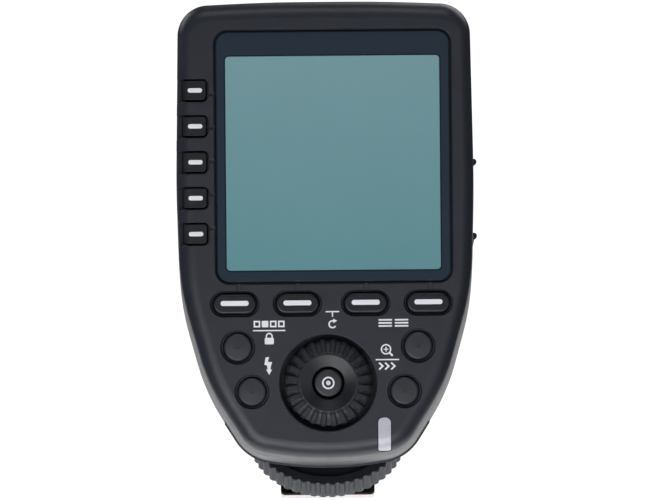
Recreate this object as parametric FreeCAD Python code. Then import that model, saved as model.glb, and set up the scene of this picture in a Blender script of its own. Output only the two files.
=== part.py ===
# Wireless flash trigger for a camera's hot shoe.
#
# A slab-shaped handset, 90 mm long and 57 mm wide, leans back at 45 degrees over a
# screw-down shoe foot.  The face carries a square display, five group keys down the
# left edge, four function keys, four round keys, a select dial with a centre key and
# a status lamp.  Two slide switches sit on the right side, the sockets on the left,
# two AA cells lie behind a sliding cover in the back, and an assist lamp looks
# forward out of the block above the foot.
#
# Units are millimetres.  Row frame: origin at the centre of the shoe foot's
# underside, +Z up along the foot's axis, -Y towards the user, +X to the user's right.
# The handset is drawn in its own frame (x right, y up the face, z out of the face,
# face plane at z = 0) and then placed by to_row().
import FreeCAD, Part
import math
import os
from FreeCAD import Vector as V

os.makedirs("parts", exist_ok=True)

# ---------------------------------------------------------------- driving sizes
TILT = 45.0              # face normal against the foot's axis, degrees
FOOT_Y, FOOT_Z = -42.9, -43.5   # foot's underside centre in the handset's frame
SEAM_Z = -6.3            # front shell's rim
SEAM_GAP = 0.2           # shadow line between the shells
BACK_Z = -28.0           # back of the slab
WALL = 1.8               # shell wall
TOP_WALL = 2.4           # face wall
EDGE_R = 3.2             # roll of the face into the sides
BACK_R = 3.8             # roll of the back into the sides
GROW_BOTTOM, GROW_CORNER, GROW_SIDE, GROW_WAIST = 2.20, 1.75, 1.40, 0.55   # rear shell's flare at the back
DRAFT_BOTTOM, DRAFT_CORNER, DRAFT_SIDE, DRAFT_WAIST = 1.40, 1.00, 0.60, 0.35   # lean of the front shell's walls
BLOCK_Z = 11.4           # underside of the block above the lock ring (row z)

WIN_C = (1.6, 17.85)     # display window recess centre
WIN_W, WIN_H = 45.4, 48.7
LCD_C = (1.55, 16.6)
LCD_OPEN = 42.0

GROUP_X, GROUP_Y0, GROUP_PITCH = -24.8, 30.6, 6.84
GROUP_W, GROUP_H = 4.45, 3.6
TICK_Y = (29.9, 23.5, 17.15, 10.75, 4.3)
FUNC_X = (-17.4, -5.45, 7.55, 19.5)
FUNC_Y = -10.15
CHANNEL_X = (-16.6, -5.3, 7.6, 19.85)   # channels from the display down to the function keys
FUNC_W, FUNC_H = 8.2, 3.8
ROUND_KEYS = {"mode_button": (-16.9, -18.4), "test_button": (-14.25, -26.9),
              "menu_button": (17.5, -18.35), "zoom_button": (14.85, -26.95)}
ROUND_R = 2.65
KEY_GAP = 0.22
KEY_TRAVEL = 0.5
DIAL_C = (0.3, -25.3)
DIAL_R = 8.4
WELL_R = 9.15
DIAL_RIBS = 24
SET_R = 2.6
LAMP_X, LAMP_Y0, LAMP_Y1, LAMP_W = 10.95, -38.4, -32.0, 2.4
SWITCH_Y = (16.8, 2.5)   # the two slide knobs' ridges
SWITCH_Z = -14.5
SWITCH_TRAVEL = 3.0
USB_Y, USB_Z = -3.6, -10.5
JACK_Y, JACK_Z, JACK_R = 8.2, -12.0, 1.27

CELL_X, CELL_R = 7.5, 7.15
TUB_X, TUB_Y0, TUB_Y1, TUB_Z = 15.4, -10.5, 43.0, -10.8
DOOR_X, DOOR_Y0, DOOR_Z = 16.9, -11.8, -26.1

SHOE_W, SHOE_L, SHOE_T = 18.6, 18.0, 2.0    # the foot plate
COLLAR_R = 9.5
RING_R, RING_Z0, RING_Z1, RING_LOBES = 15.5, 7.3, 11.1, 50
RING_TOOTH = 0.52        # depth of the ring's teeth
WASHER_R = 12.3
PIN_OUT = 0.6            # how far the contact pins stand out

# ---------------------------------------------------------------- frames
ROT = FreeCAD.Placement(V(0, 0, 0), FreeCAD.Rotation(V(1, 0, 0), TILT))
TO_ROW = ROT.multiply(FreeCAD.Placement(V(0, -FOOT_Y, -FOOT_Z), FreeCAD.Rotation()))
FROM_ROW = TO_ROW.inverse()


def to_row(s):
    return s.transformed(TO_ROW.toMatrix(), True)


def from_row(s):
    return s.transformed(FROM_ROW.toMatrix(), True)


# ---------------------------------------------------------------- helpers
def rounded(points, z):
    """Closed wire of straight runs and tangent arcs; points are (x, y, r), anticlockwise."""
    n = len(points)
    data = []
    for i in range(n):
        p0, p1, p2 = points[i - 1], points[i], points[(i + 1) % n]
        a = V(p0[0] - p1[0], p0[1] - p1[1], 0).normalize()
        b = V(p2[0] - p1[0], p2[1] - p1[1], 0).normalize()
        half = a.getAngle(b) / 2
        r = p1[2]
        t = r / math.tan(half)
        c = V(p1[0], p1[1], 0)
        bis = (a + b).normalize()
        data.append((c + a * t, c + bis * (r / math.sin(half) - r), c + b * t))
    edges = []
    for i in range(n):
        s, m, e = data[i]
        up = V(0, 0, z)
        edges.append(Part.Arc(s + up, m + up, e + up).toShape())
        nxt = data[(i + 1) % n][0]
        if (nxt - e).Length > 1e-6:
            edges.append(Part.LineSegment(e + up, nxt + up).toShape())
    return Part.Wire(edges)


def grown(points, offsets):
    """The polygon with each side (from point i to i+1) moved outwards by offsets[i]."""
    n = len(points)
    lines = []
    for i in range(n):
        p, q = points[i], points[(i + 1) % n]
        d = V(q[0] - p[0], q[1] - p[1], 0).normalize()
        out = V(d.y, -d.x, 0) * offsets[i]
        lines.append((V(p[0], p[1], 0) + out, d))
    res = []
    for i in range(n):
        (p, d), (q, e) = lines[i - 1], lines[i]
        k = d.x * e.y - d.y * e.x
        t = ((q.x - p.x) * e.y - (q.y - p.y) * e.x) / k
        c = p + d * t
        res.append((c.x, c.y, points[i][2] + (offsets[i - 1] + offsets[i]) / 2))
    return res


def prism(wire, z0, z1):
    w = wire.copy()
    w.translate(V(0, 0, z0 - w.BoundBox.ZMin))
    return Part.Face(w).extrude(V(0, 0, z1 - z0))


def rrect(cx, cy, w, h, r):
    return [(cx - w / 2, cy - h / 2, r), (cx + w / 2, cy - h / 2, r),
            (cx + w / 2, cy + h / 2, r), (cx - w / 2, cy + h / 2, r)]


def slot_wire(cx, cy, w, h, z):
    r = h / 2
    a = w / 2 - r
    return Part.Wire([
        Part.LineSegment(V(cx - a, cy - r, z), V(cx + a, cy - r, z)).toShape(),
        Part.Arc(V(cx + a, cy - r, z), V(cx + w / 2, cy, z), V(cx + a, cy + r, z)).toShape(),
        Part.LineSegment(V(cx + a, cy + r, z), V(cx - a, cy + r, z)).toShape(),
        Part.Arc(V(cx - a, cy + r, z), V(cx - w / 2, cy, z), V(cx - a, cy - r, z)).toShape()])


def box(x0, x1, y0, y1, z0, z1):
    return Part.makeBox(x1 - x0, y1 - y0, z1 - z0, V(x0, y0, z0))


def cyl(r, x, y, z0, z1):
    return Part.makeCylinder(r, z1 - z0, V(x, y, z0))


def xbar(x0, x1, y, z, w, h, r):
    """Bar along x with a rounded section, w along y and h along z."""
    q = Part.Face(rounded(rrect(0, 0, w, h, r), 0)).extrude(V(0, 0, x1 - x0))
    return q.transformed(FreeCAD.Matrix(0, 0, 1, x0, 1, 0, 0, y, 0, 1, 0, z, 0, 0, 0, 1), True)


def cone(r0, r1, x, y, z0, z1):
    return Part.makeCone(r0, r1, z1 - z0, V(x, y, z0))


def fuse(a, *rest):
    return a.multiFuse(list(rest)).removeSplitter() if rest else a


def cut(a, *rest):
    for r in rest:
        a = a.cut(r)
    return a


def roll(shape, z, r, tol=1e-3):
    """Rolls the closed chain of edges lying in the plane z."""
    es = [e for e in shape.Edges if abs(e.BoundBox.ZMin - z) < tol and abs(e.BoundBox.ZMax - z) < tol]
    return shape.makeFillet(r, es)


def one(shape):
    """The single solid of a boolean result."""
    s = sorted(shape.Solids, key=lambda q: -q.Volume)
    return s[0]


def revolve(points, cx=0.0, cy=0.0):
    """Solid of revolution about the vertical through (cx, cy); points are (r, z)."""
    p = [V(cx + r, cy, z) for r, z in points]
    return Part.Face(Part.makePolygon(p + [p[0]])).revolve(V(cx, cy, 0), V(0, 0, 1), 360)


NODES = {}


def keep(name, shape, row=False):
    shape = shape if row else to_row(shape)
    solids = shape.Solids
    assert solids, name
    shape = solids[0] if len(solids) == 1 else Part.makeCompound(solids)
    assert shape.isValid(), name
    for s in solids:
        assert s.Volume > 0, name
    shape.exportStep("parts/%s.step" % name)
    NODES[name] = len(solids)


# ---------------------------------------------------------------- outline
RIGHT = [(5.0, -40.6, 55.0), (14.95, -39.0, 7.8), (22.77, -26.65, 40.0), (28.03, -7.65, 50.0),
         (28.55, 12.0, 200.0), (27.95, 46.75, 6.0), (11.0, 47.5, 300.0)]
OUT = RIGHT + [(-x, y, r) for x, y, r in reversed(RIGHT)]
N = len(OUT)
HALF = [GROW_BOTTOM, GROW_CORNER, GROW_SIDE, GROW_WAIST, 0.2, 0.0]
FLARE = HALF + [0.0] + list(reversed(HALF)) + [GROW_BOTTOM]
BACK = grown(OUT, FLARE)
LEAN = [-DRAFT_BOTTOM, -DRAFT_CORNER, -DRAFT_SIDE, -DRAFT_WAIST, -0.15, -0.1]
FACE = grown(OUT, LEAN + [-0.1] + list(reversed(LEAN)) + [-DRAFT_BOTTOM])


def inset(points, d):
    return grown(points, [-d] * len(points))


def section(a, b, t):
    return [(p[0] + (q[0] - p[0]) * t, p[1] + (q[1] - p[1]) * t, p[2] + (q[2] - p[2]) * t) for p, q in zip(a, b)]


def slab_point(z):
    return section(OUT, BACK, (SEAM_Z - SEAM_GAP - z) / (SEAM_Z - SEAM_GAP - BACK_Z))


# ---------------------------------------------------------------- front shell



def drafted(d, z_low, z_top, r):
    """The slab with leaning walls, d inside the outline, its top edge rolled."""
    s = Part.makeLoft([rounded(inset(OUT, d), z_low), rounded(inset(FACE, d), z_top)], True, True)
    return roll(s, z_top, r)


outer = drafted(0, SEAM_Z, 0, EDGE_R)
inner = roll(prism(rounded(inset(OUT, WALL), 0), SEAM_Z - 1, -TOP_WALL), -TOP_WALL, 2.4)
proud = drafted(-0.45, SEAM_Z, 0.45, EDGE_R + 0.45)     # key tops follow this
low = drafted(0.02, SEAM_Z - 1, -0.85, EDGE_R + 1.7)    # the edge keys' pockets: deepest on the roll, nothing at the side

front = outer.cut(inner)

# display recess with a sloping wall, a ledge, and the opening
rec_top = rounded(rrect(*WIN_C, WIN_W + 0.15, WIN_H + 0.15, 2.95), 0.05)
rec_mid = rounded(rrect(*WIN_C, WIN_W - 0.5, WIN_H - 0.5, 2.5), -0.65)
recess = Part.makeLoft([rec_mid, rec_top], True, True)
recess = recess.fuse(prism(rounded(rrect(*WIN_C, WIN_W - 0.5, WIN_H - 0.5, 2.5), 0), -1.8, -0.6))
front = front.cut(recess)
front = front.cut(prism(rounded(rrect(*LCD_C, LCD_OPEN, LCD_OPEN, 1.2), 0), -4, 1))

# group keys: pockets that follow the rolled edge, holes, and the ticks to the display
group_y = [GROUP_Y0 - i * GROUP_PITCH for i in range(5)]
gx0, gx1 = GROUP_X - GROUP_W / 2, GROUP_X + GROUP_W / 2
for y in group_y:
    pocket = rounded([(-31, y - GROUP_H / 2 - 1.5, 0.3), (gx0 + 0.2, y - GROUP_H / 2 - 0.42, 3.0), (gx1 + 0.55, y - GROUP_H / 2 - 0.42, 1.35),
                      (gx1 + 0.55, y + GROUP_H / 2 + 0.36, 1.1), (-31, y + GROUP_H / 2 + 0.36, 0.3)], 0)
    front = front.cut(prism(pocket, -6.0, 1).cut(low))
    hole = rounded([(gx0 - KEY_GAP, y - GROUP_H / 2 - KEY_GAP, 0.25), (gx1 + KEY_GAP, y - GROUP_H / 2 - KEY_GAP, 0.85),
                    (gx1 + KEY_GAP, y + GROUP_H / 2 + KEY_GAP, 0.7), (gx0 - KEY_GAP, y + GROUP_H / 2 + KEY_GAP, 0.25)], 0)
    front = front.cut(prism(hole, -4.4, 1))
for y in TICK_Y:
    front = front.cut(box(gx1 + 0.3, WIN_C[0] - WIN_W / 2 + 0.2, y - 0.36, y + 0.36, -0.42, 1))

# function keys
for x in FUNC_X:
    front = front.cut(prism(slot_wire(x, FUNC_Y, FUNC_W + 2 * KEY_GAP, FUNC_H + 2 * KEY_GAP, 0), -3, 1))
    pocket = Part.makeLoft([slot_wire(x, FUNC_Y, FUNC_W + 0.95, FUNC_H + 0.95, -0.85),
                            slot_wire(x, FUNC_Y, FUNC_W + 1.25, FUNC_H + 1.25, 0.05)], True, True)
    front = front.cut(pocket)
for x in CHANNEL_X:
    front = front.cut(box(x - 0.42, x + 0.42, FUNC_Y + 2, WIN_C[1] - WIN_H / 2 + 0.2, -0.45, 1))

# round keys
for x, y in ROUND_KEYS.values():
    front = front.cut(cyl(ROUND_R + KEY_GAP, x, y, -3, 1))
    front = front.cut(cone(ROUND_R + 0.5, ROUND_R + 0.68, x, y, -0.85, 0.05))

# dial well: a cup under the face
cup = cyl(WELL_R + 1.0, DIAL_C[0], DIAL_C[1], -4.8, -2.0)
front = front.fuse(cup)
front = cut(front, cyl(WELL_R, DIAL_C[0], DIAL_C[1], -4.0, 1), cyl(4.9, DIAL_C[0], DIAL_C[1], -6, 1),
            cone(WELL_R, WELL_R + 0.3, DIAL_C[0], DIAL_C[1], -0.25, 0.05))

# status lamp slot
lamp_c = (LAMP_X, (LAMP_Y0 + LAMP_Y1) / 2)
lamp_h = LAMP_Y1 - LAMP_Y0


def lamp_wire(g):
    x0, x1, y0, y1 = LAMP_X - LAMP_W / 2 - g, LAMP_X + LAMP_W / 2 + g, LAMP_Y0 - g, LAMP_Y1 + g
    return rounded([(x0, y0, 0.35 + g), (x1, y0, 0.35 + g), (x1, y1, 0.95 + g), (x0, y1, 0.95 + g)], 0)


front = front.cut(prism(lamp_wire(0.1), -7, 1))

# screw bosses
BOSSES = [(-23.3, 42.0), (23.3, 42.0), (-21.3, -14.9), (21.3, -14.9)]
for x, y in BOSSES:
    post = cyl(1.6, x, y, -7.2, -2.2).common(prism(rounded(inset(OUT, 1.0), 0), -8, 0))
    front = front.fuse(post)
for x, y in BOSSES:
    front = front.cut(cyl(0.82, x, y, -8, -3.2))
front = one(front)
keep("front_shell", front)

# ---------------------------------------------------------------- display
window = prism(rounded(rrect(*WIN_C, WIN_W - 0.8, WIN_H - 0.8, 2.35), 0), -1.75, -0.75)
window = window.makeChamfer(0.25, [e for e in window.Edges if e.BoundBox.ZMin > -0.76])
keep("screen_window", window)
keep("lcd_panel", box(LCD_C[0] - 21.6, LCD_C[0] + 21.6, LCD_C[1] - 23.0, LCD_C[1] + 22.4, -4.2, -2.5))
keep("lcd_light_guide", prism(rounded(rrect(LCD_C[0], LCD_C[1], 43.2, 44.6, 0.8), 0), -6.9, -4.3))
strip = Part.makePolygon([V(0, -6.45, -3.9), V(0, -6.45, -4.05), V(0, -6.95, -4.05), V(0, -6.95, -7.35), V(0, -8.6, -7.35),
                          V(0, -8.6, -7.2), V(0, -7.1, -7.2), V(0, -7.1, -3.9), V(0, -6.45, -3.9)])
ribbon = Part.Face(strip).extrude(V(4.4, 0, 0))
ribbon.translate(V(-1.2, 0, 0))
keep("lcd_ribbon", ribbon)

# ---------------------------------------------------------------- keys


for i, y in enumerate(group_y):
    cap = prism(rounded([(gx0, y - GROUP_H / 2, 0.2), (gx1, y - GROUP_H / 2, 0.65),
                         (gx1, y + GROUP_H / 2, 0.5), (gx0, y + GROUP_H / 2, 0.2)], 0), -3.7, 2).common(proud)
    cap = one(cap)
    tops = [e for e in cap.Edges if e.BoundBox.ZMax > -1.6 and e.BoundBox.ZMin > -3.0]
    try:
        cap = cap.makeFillet(0.28, tops)
    except Exception:
        pass
    flange = box(-24.0, -21.6, y - 2.35, y + 2.35, -3.6, -2.62)
    stem = box(-23.7, -22.3, y - 0.7, y + 0.7, -4.3, -3.5)
    keep("group_button_%d" % (i + 1), fuse(cap, flange, stem))

for i, x in enumerate(FUNC_X):
    cap = prism(slot_wire(x, FUNC_Y, FUNC_W, FUNC_H, 0), -3.0, 0.45)
    cap = roll(cap, 0.45, 0.45)
    flange = prism(slot_wire(x, FUNC_Y, FUNC_W + 0.55, FUNC_H + 0.9, 0), -3.4, -2.62)
    keep("function_button_%d" % (i + 1), fuse(cap, flange, cyl(1.0, x, FUNC_Y, -4.3, -3.3)))

for name, (x, y) in ROUND_KEYS.items():
    # a slightly domed cap
    cap = revolve([(0, -3.0), (ROUND_R, -3.0), (ROUND_R, -0.15), (ROUND_R - 0.12, 0.05), (ROUND_R - 0.38, 0.2), (0, 0.3)], x, y)
    keep(name, fuse(cap, cyl(ROUND_R + 0.42, x, y, -3.4, -2.62), cyl(1.1, x, y, -4.3, -3.3)))

# dial: dished centre, sloping rim with rounded ribs, hub through the well's floor
dx, dy = DIAL_C
hub_r = 4.6
prof = [(3.1, -5.4), (hub_r, -5.4), (hub_r, -3.7), (DIAL_R - 0.5, -3.7), (DIAL_R - 0.2, -3.4), (DIAL_R - 0.2, -1.55),
        (DIAL_R - 0.35, -1.3), (5.95, 0.85), (5.7, 1.0), (5.35, 1.05), (3.1, 0.1)]
dial = revolve(prof, dx, dy)
ribs = []
rib_w = 1.04
rp = [(5.45, 0.3), (5.75, 1.12), (7.75, 0.68), (8.3, 0.15), (8.38, -0.5), (8.38, -3.3), (7.6, -3.3), (6.2, -0.5)]
side = Part.Face(Part.makePolygon([V(r, -rib_w / 2, z) for r, z in rp + rp[:1]]))
rib0 = side.extrude(V(0, rib_w, 0))
rib0 = rib0.makeFillet(0.26, [e for e in rib0.Edges if e.BoundBox.ZMin > -0.55 and e.BoundBox.ZMax > 0.1 and e.BoundBox.XMax > 5.6
                              and not (e.BoundBox.XMin < 6.0 and e.BoundBox.XMax > 6.0 and e.BoundBox.ZMin < 0.2)])
for i in range(DIAL_RIBS):
    rib = rib0.copy()
    rib.rotate(V(0, 0, 0), V(0, 0, 1), 360.0 * i / DIAL_RIBS + 7.5)
    rib.translate(V(dx, dy, 0))
    ribs.append(rib)
dial = dial.multiFuse(ribs)
dial = one(dial)
keep("select_dial", dial)

set_cap = revolve([(0, -5.2), (SET_R, -5.2), (SET_R, 0.55), (SET_R - 0.12, 0.75), (SET_R - 0.4, 0.88), (0, 0.98)], dx, dy)
keep("set_button", set_cap)

# ---------------------------------------------------------------- rear shell
z0, z1 = BACK_Z, SEAM_Z - SEAM_GAP
slab = Part.makeLoft([rounded(BACK, z0), rounded(OUT, z1)], True, True)
try:
    slab = roll(slab, z0, BACK_R)
except Exception as err:
    print("back roll failed", err)

# block above the foot, drawn in the row frame and brought into the handset's
BLOCK_LOW = [(-17.6, -34, 2), (17.6, -34, 2), (17.6, 15.2, 9), (-17.6, 15.2, 9)]
BLOCK_HIGH = [(-22.5, -34, 2), (22.5, -34, 2), (22.5, 10.5, 10), (-22.5, 10.5, 10)]
BLOCK_TOP = 36.0


def block_loft(d, zlow):
    t = lambda z: (z - BLOCK_Z) / (BLOCK_TOP - BLOCK_Z)
    lo = inset(section(BLOCK_LOW, BLOCK_HIGH, t(zlow)), d)
    hi = inset(BLOCK_HIGH, d)
    return from_row(Part.makeLoft([rounded(lo, zlow), rounded(hi, BLOCK_TOP)], True, True))


block_out = block_loft(0, BLOCK_Z)
skirt = prism(rounded(slab_point(-24.0), 0), -56, -20)
block = one(block_out.common(skirt))
body = slab.fuse(block).removeSplitter()
body = one(body)
# edges of the block's underside
und = []
bb = to_row(body)
for r in (1.2, 0.7, 0.4):
    try:
        es = [e for e, f in zip(body.Edges, bb.Edges)
              if abs(f.BoundBox.ZMin - BLOCK_Z) < 1e-3 and abs(f.BoundBox.ZMax - BLOCK_Z) < 1e-3]
        trial = body.makeFillet(r, es)
        if trial.isValid():
            body = trial
            print("block underside rolled", r, len(es))
            break
    except Exception as err:
        print("underside", r, err)
body = one(body)

# hollow
cav_slab = Part.makeLoft([rounded(inset(slab_point(BACK_Z + WALL), WALL), BACK_Z + WALL),
                          rounded(inset(OUT, WALL), z1 + 0.5)], True, True)
try:
    cav_slab = roll(cav_slab, BACK_Z + WALL, BACK_R - WALL)
except Exception as err:
    print("cavity roll failed", err)
cav_block = block_loft(WALL, BLOCK_Z + 2.0).common(prism(rounded(inset(slab_point(-24.0), WALL), 0), -56, -22))
cavity = cav_slab.fuse(one(cav_block))
rear = body.cut(cavity)

# tongue inside the front shell's rim
tongue = prism(rounded(inset(OUT, WALL + 0.12), 0), z1 - 1.2, SEAM_Z + 1.0).cut(
    prism(rounded(inset(OUT, WALL + 0.95), 0), z1 - 2, SEAM_Z + 2))
rear = rear.fuse(tongue)
# a foot for the tongue on the wall
seat = prism(rounded(inset(OUT, 1.0), 0), z1 - 1.2, z1 - 0.0).cut(
    prism(rounded(inset(OUT, WALL + 0.95), 0), z1 - 2, z1 + 2))
rear = rear.fuse(seat)

# battery tub, rails for the cover
tub = box(-TUB_X - 1.0, TUB_X + 1.0, TUB_Y0 - 1.6, 46.2, -27.0, TUB_Z + 1.2)
rails = box(-19.3, 19.3, TUB_Y0 - 1.6, 46.2, -27.0, -24.7)
rear = rear.fuse(tub.fuse(rails).common(body))
for x, y in BOSSES:
    post = cyl(2.6, x, y, -27.0, -7.55).common(body)
    rear = rear.fuse(post)
rear = rear.cut(box(-TUB_X, TUB_X, TUB_Y0, TUB_Y1, -30, TUB_Z))

# cover's recess, its end and its grooves
DC = 0.1
door_zone = fuse(box(-DOOR_X, DOOR_X, DOOR_Y0, 52, -31, DOOR_Z), box(-DOOR_X, DOOR_X, 44.7, 52, -31, -19.6))
shell_zone = fuse(box(-DOOR_X - DC, DOOR_X + DC, DOOR_Y0 - DC, 52, -31, DOOR_Z + DC),
                  box(-DOOR_X - DC, DOOR_X + DC, 44.7 - DC, 52, -31, -19.6 + DC))
tong_zone = box(-17.7, 17.7, DOOR_Y0 + 1.0, 44.0, -27.2, -26.2)
groove_zone = box(-17.8, 17.8, DOOR_Y0 + 0.9, 52, -27.3, -26.1)
rear = cut(rear, shell_zone, groove_zone)
door = body.common(door_zone.fuse(tong_zone))
door = one(door)
for i in range(5):
    door = door.cut(cyl(0.45, 0, 0, -9, 9).transformed(
        FreeCAD.Placement(V(0, 33.5 + 1.6 * i, BACK_Z - 0.12), FreeCAD.Rotation(V(0, 1, 0), 90)).toMatrix(), True).common(
            box(-8, 8, 0, 60, -40, 0)))
door = one(door)
keep("battery_cover", door)

# screw holes
for x, y in BOSSES:
    rear = cut(rear, cyl(1.15, x, y, -40, 0), cyl(2.05, x, y, -40, -25.4))

# right side: the slide knobs' tracks
sx = 29.2
for y in SWITCH_Y:
    rear = rear.cut(xbar(26.0, 32, y - 0.5 + SWITCH_TRAVEL / 2, SWITCH_Z, 4.4 + SWITCH_TRAVEL, 2.7, 0.5))

# left side: sockets
rear = rear.cut(xbar(-32, -25.4, USB_Y, USB_Z, 10.2, 4.5, 2.0))
rear = rear.cut(Part.makeCylinder(3.1, 8, V(-33, JACK_Y, JACK_Z), V(1, 0, 0)))

# assist lamp window in the block's front
LENS = (-8.2, 8.2, 15.4, 26.0)      # x0, x1, row z0, z1


def lens_prism(g):
    w = rounded(rrect(0, (LENS[2] + LENS[3]) / 2, LENS[1] - LENS[0] + 2 * g, LENS[3] - LENS[2] + 2 * g, 1.8 + g), 0)
    p = Part.Face(w).extrude(V(0, 0, 14))
    # wire's y is row z; extrusion runs along row +y from 9.6
    m = FreeCAD.Matrix(1, 0, 0, 0, 0, 0, -1, 23.6, 0, 1, 0, 0, 0, 0, 0, 1)
    return from_row(p.transformed(m, True))


rear = rear.cut(lens_prism(0.1))
lens = one(body.common(lens_prism(0.0)))
keep("assist_lamp_lens", lens)

# hole for the collar and its screws (row frame)
COLLAR_SCREWS = [(-11.2, -4.6), (11.2, -4.6), (-11.2, 8.8), (11.2, 8.8)]
rear = rear.cut(from_row(cyl(COLLAR_R + 0.1, 0, 0, 5, 14)))
for x, y in COLLAR_SCREWS:
    rear = rear.cut(from_row(cyl(0.83, x, y, BLOCK_Z + 0.5, BLOCK_Z + 3)))
rear = one(rear)
keep("rear_shell", rear)

# ---------------------------------------------------------------- inside the handset
pcb = prism(rounded(inset(OUT, 3.2), 0), -8.6, -7.4)
for x, y in BOSSES:
    pcb = pcb.cut(cyl(3.0, x, y, -9, -7))
    pcb = pcb.cut(box(x - (3.0 if x < 0 else 0), x + (0 if x < 0 else 3.0), y - 3.0, y + 3.0, -9, -7))
pcb = one(pcb)
keep("main_board", pcb)

sw = []
for y in group_y:
    sw.append(box(-24.3, -21.5, y - 1.4, y + 1.4, -7.38, -5.3).fuse(cyl(0.7, -23.0, y, -5.4, -4.95)))
for x in FUNC_X:
    sw.append(box(x - 2.2, x + 2.2, FUNC_Y - 2.2, FUNC_Y + 1.0, -7.38, -5.3).fuse(cyl(0.8, x, FUNC_Y, -5.4, -4.95)))
for x, y in ROUND_KEYS.values():
    sw.append(box(x - 2.2, x + 2.2, y - 2.2, y + 2.2, -7.38, -5.3).fuse(cyl(0.8, x, y, -5.4, -4.95)))
sw.append(box(dx - 1.9, dx + 1.9, dy - 1.9, dy + 1.9, -7.38, -6.3).fuse(cyl(0.8, dx, dy, -6.4, -5.85)))
keep("key_switches", Part.makeCompound([s.removeSplitter() for s in sw]))

keep("dial_encoder", cut(cyl(6.4, dx, dy, -7.38, -5.5), cyl(2.9, dx, dy, -8, -5)))
lamp = prism(lamp_wire(0.0), -5.9, 1).common(outer).cut(box(0, 20, -45, -35.95, -8, -4.7))
keep("status_lamp", one(lamp))
keep("status_led", box(LAMP_X - 0.8, LAMP_X + 0.8, -35.9, -34.5, -7.38, -6.3))
keep("processor_chip", box(-7, 3, -33, -23, -9.9, -8.62))
keep("radio_module", prism(rounded(rrect(11.8, -23.2, 11.0, 13.0, 0.5), 0), -10.9, -8.62))
ant = Part.makePolygon([V(-18, -24, 0), V(-9.5, -24, 0), V(-9.5, -25, 0), V(-17, -25, 0), V(-17, -26.4, 0), V(-9.5, -26.4, 0),
                        V(-9.5, -27.4, 0), V(-18, -27.4, 0), V(-18, -24, 0)])
ant = Part.Face(ant).extrude(V(0, 0, -0.5))
ant.translate(V(0, 0, -10.4))
leg = box(-18, -17.2, -24.8, -24.0, -10.6, -8.62)
keep("antenna", fuse(ant, leg))
keep("beeper", cut(cyl(4.5, -2, -33.5, -14.2, -11.2), cyl(0.8, -2, -33.5, -14.3, -13.6)))

# slide switches: bases inside, knobs outside
bases = []
for y in SWITCH_Y:
    yc = y + 1.1
    bases.append(box(20.6, 23.4, yc - 4.2, yc + 4.2, SWITCH_Z - 1.9, SWITCH_Z + 1.9))
keep("slide_switch_bases", Part.makeCompound(bases))


def side_x(y):
    """Outer x of the rear shell's side at the knobs' depth."""
    ray = Part.LineSegment(V(20, y, SWITCH_Z), V(34, y, SWITCH_Z)).toShape()
    hit = body.common(ray)
    return hit.BoundBox.XMax


for name, y in (("power_switch", SWITCH_Y[0]), ("assist_switch", SWITCH_Y[1])):
    xs = side_x(y)
    p = [(23.9, y - 2.6), (xs - 0.35, y - 2.6), (xs - 0.05, y - 2.2), (xs + 0.22, y - 0.75), (xs + 0.5, y - 0.6), (xs + 0.72, y - 0.3),
         (xs + 0.78, y + 0.05), (xs + 0.7, y + 0.36), (xs + 0.42, y + 0.56), (xs - 0.3, y + 0.66), (xs - 0.35, y + 1.6), (23.9, y + 1.6)]
    w = Part.makePolygon([V(a, b, 0) for a, b in p] + [V(p[0][0], p[0][1], 0)])
    knob = Part.Face(w).extrude(V(0, 0, 2.3))
    knob.translate(V(0, 0, SWITCH_Z - 1.15))
    knob = knob.cut(box(0, 25.3, y - 5, y - 1.0, -40, 0)).cut(box(0, 25.3, y + 0.6, y + 5, -40, 0))
    knob = knob.fuse(box(25.3, 26.0, y - 2.7 - SWITCH_TRAVEL - 0.2, y + 1.7 + SWITCH_TRAVEL + 0.2, SWITCH_Z - 1.7, SWITCH_Z + 1.7))
    keep(name, one(knob.removeSplitter()))

# sockets
usb = xbar(-27.1, -19.8, USB_Y, USB_Z, 8.94, 3.26, 1.6).cut(xbar(-28, -20.6, USB_Y, USB_Z, 8.34, 2.56, 1.25))
keep("usb_socket_shell", one(usb))
keep("usb_socket_tongue", box(-25.9, -20.7, USB_Y - 3.3, USB_Y + 3.3, USB_Z - 0.35, USB_Z + 0.35))
jack = Part.makeCylinder(2.9, 9.0, V(-28.2, JACK_Y, JACK_Z), V(1, 0, 0))
jack = jack.fuse(box(-26.0, -16.6, JACK_Y - 3.3, JACK_Y + 3.3, -15.2, -8.65))
jack = jack.cut(Part.makeCylinder(JACK_R, 11.1, V(-28.2, JACK_Y, JACK_Z), V(1, 0, 0)))
keep("sync_socket", one(jack))

# battery cells, contacts
TOP = TUB_Y1 - 0.45
BOT = TUB_Y0 + 0.45


def cell(x, up):
    c = Part.makeCylinder(CELL_R, 48.8, V(0, 0, 0), V(0, 1, 0))
    c = c.makeFillet(0.6, [e for e in c.Edges if e.Length > 40 and e.BoundBox.YLength < 1e-3])
    nub = Part.makeCylinder(2.7, 1.5, V(0, 48.7, 0), V(0, 1, 0))
    c = c.fuse(nub).removeSplitter()
    if up:
        c.translate(V(x, TOP - 0.05 - 50.2, -18.7))
    else:
        c.rotate(V(0, 0, 0), V(0, 0, 1), 180)
        c.translate(V(x, BOT + 0.05 + 50.2, -18.7))
    return c


keep("battery_cell_left", cell(-CELL_X, True))
keep("battery_cell_right", cell(CELL_X, False))
keep("contact_bridge", box(-13.2, 13.2, TUB_Y0 + 0.02, BOT, -25.0, -12.2))
keep("contact_plates", Part.makeCompound([box(-13.2, -1.4, TOP, TUB_Y1 - 0.02, -25.0, -12.2), box(1.4, 13.2, TOP, TUB_Y1 - 0.02, -25.0, -12.2)]))


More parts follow.
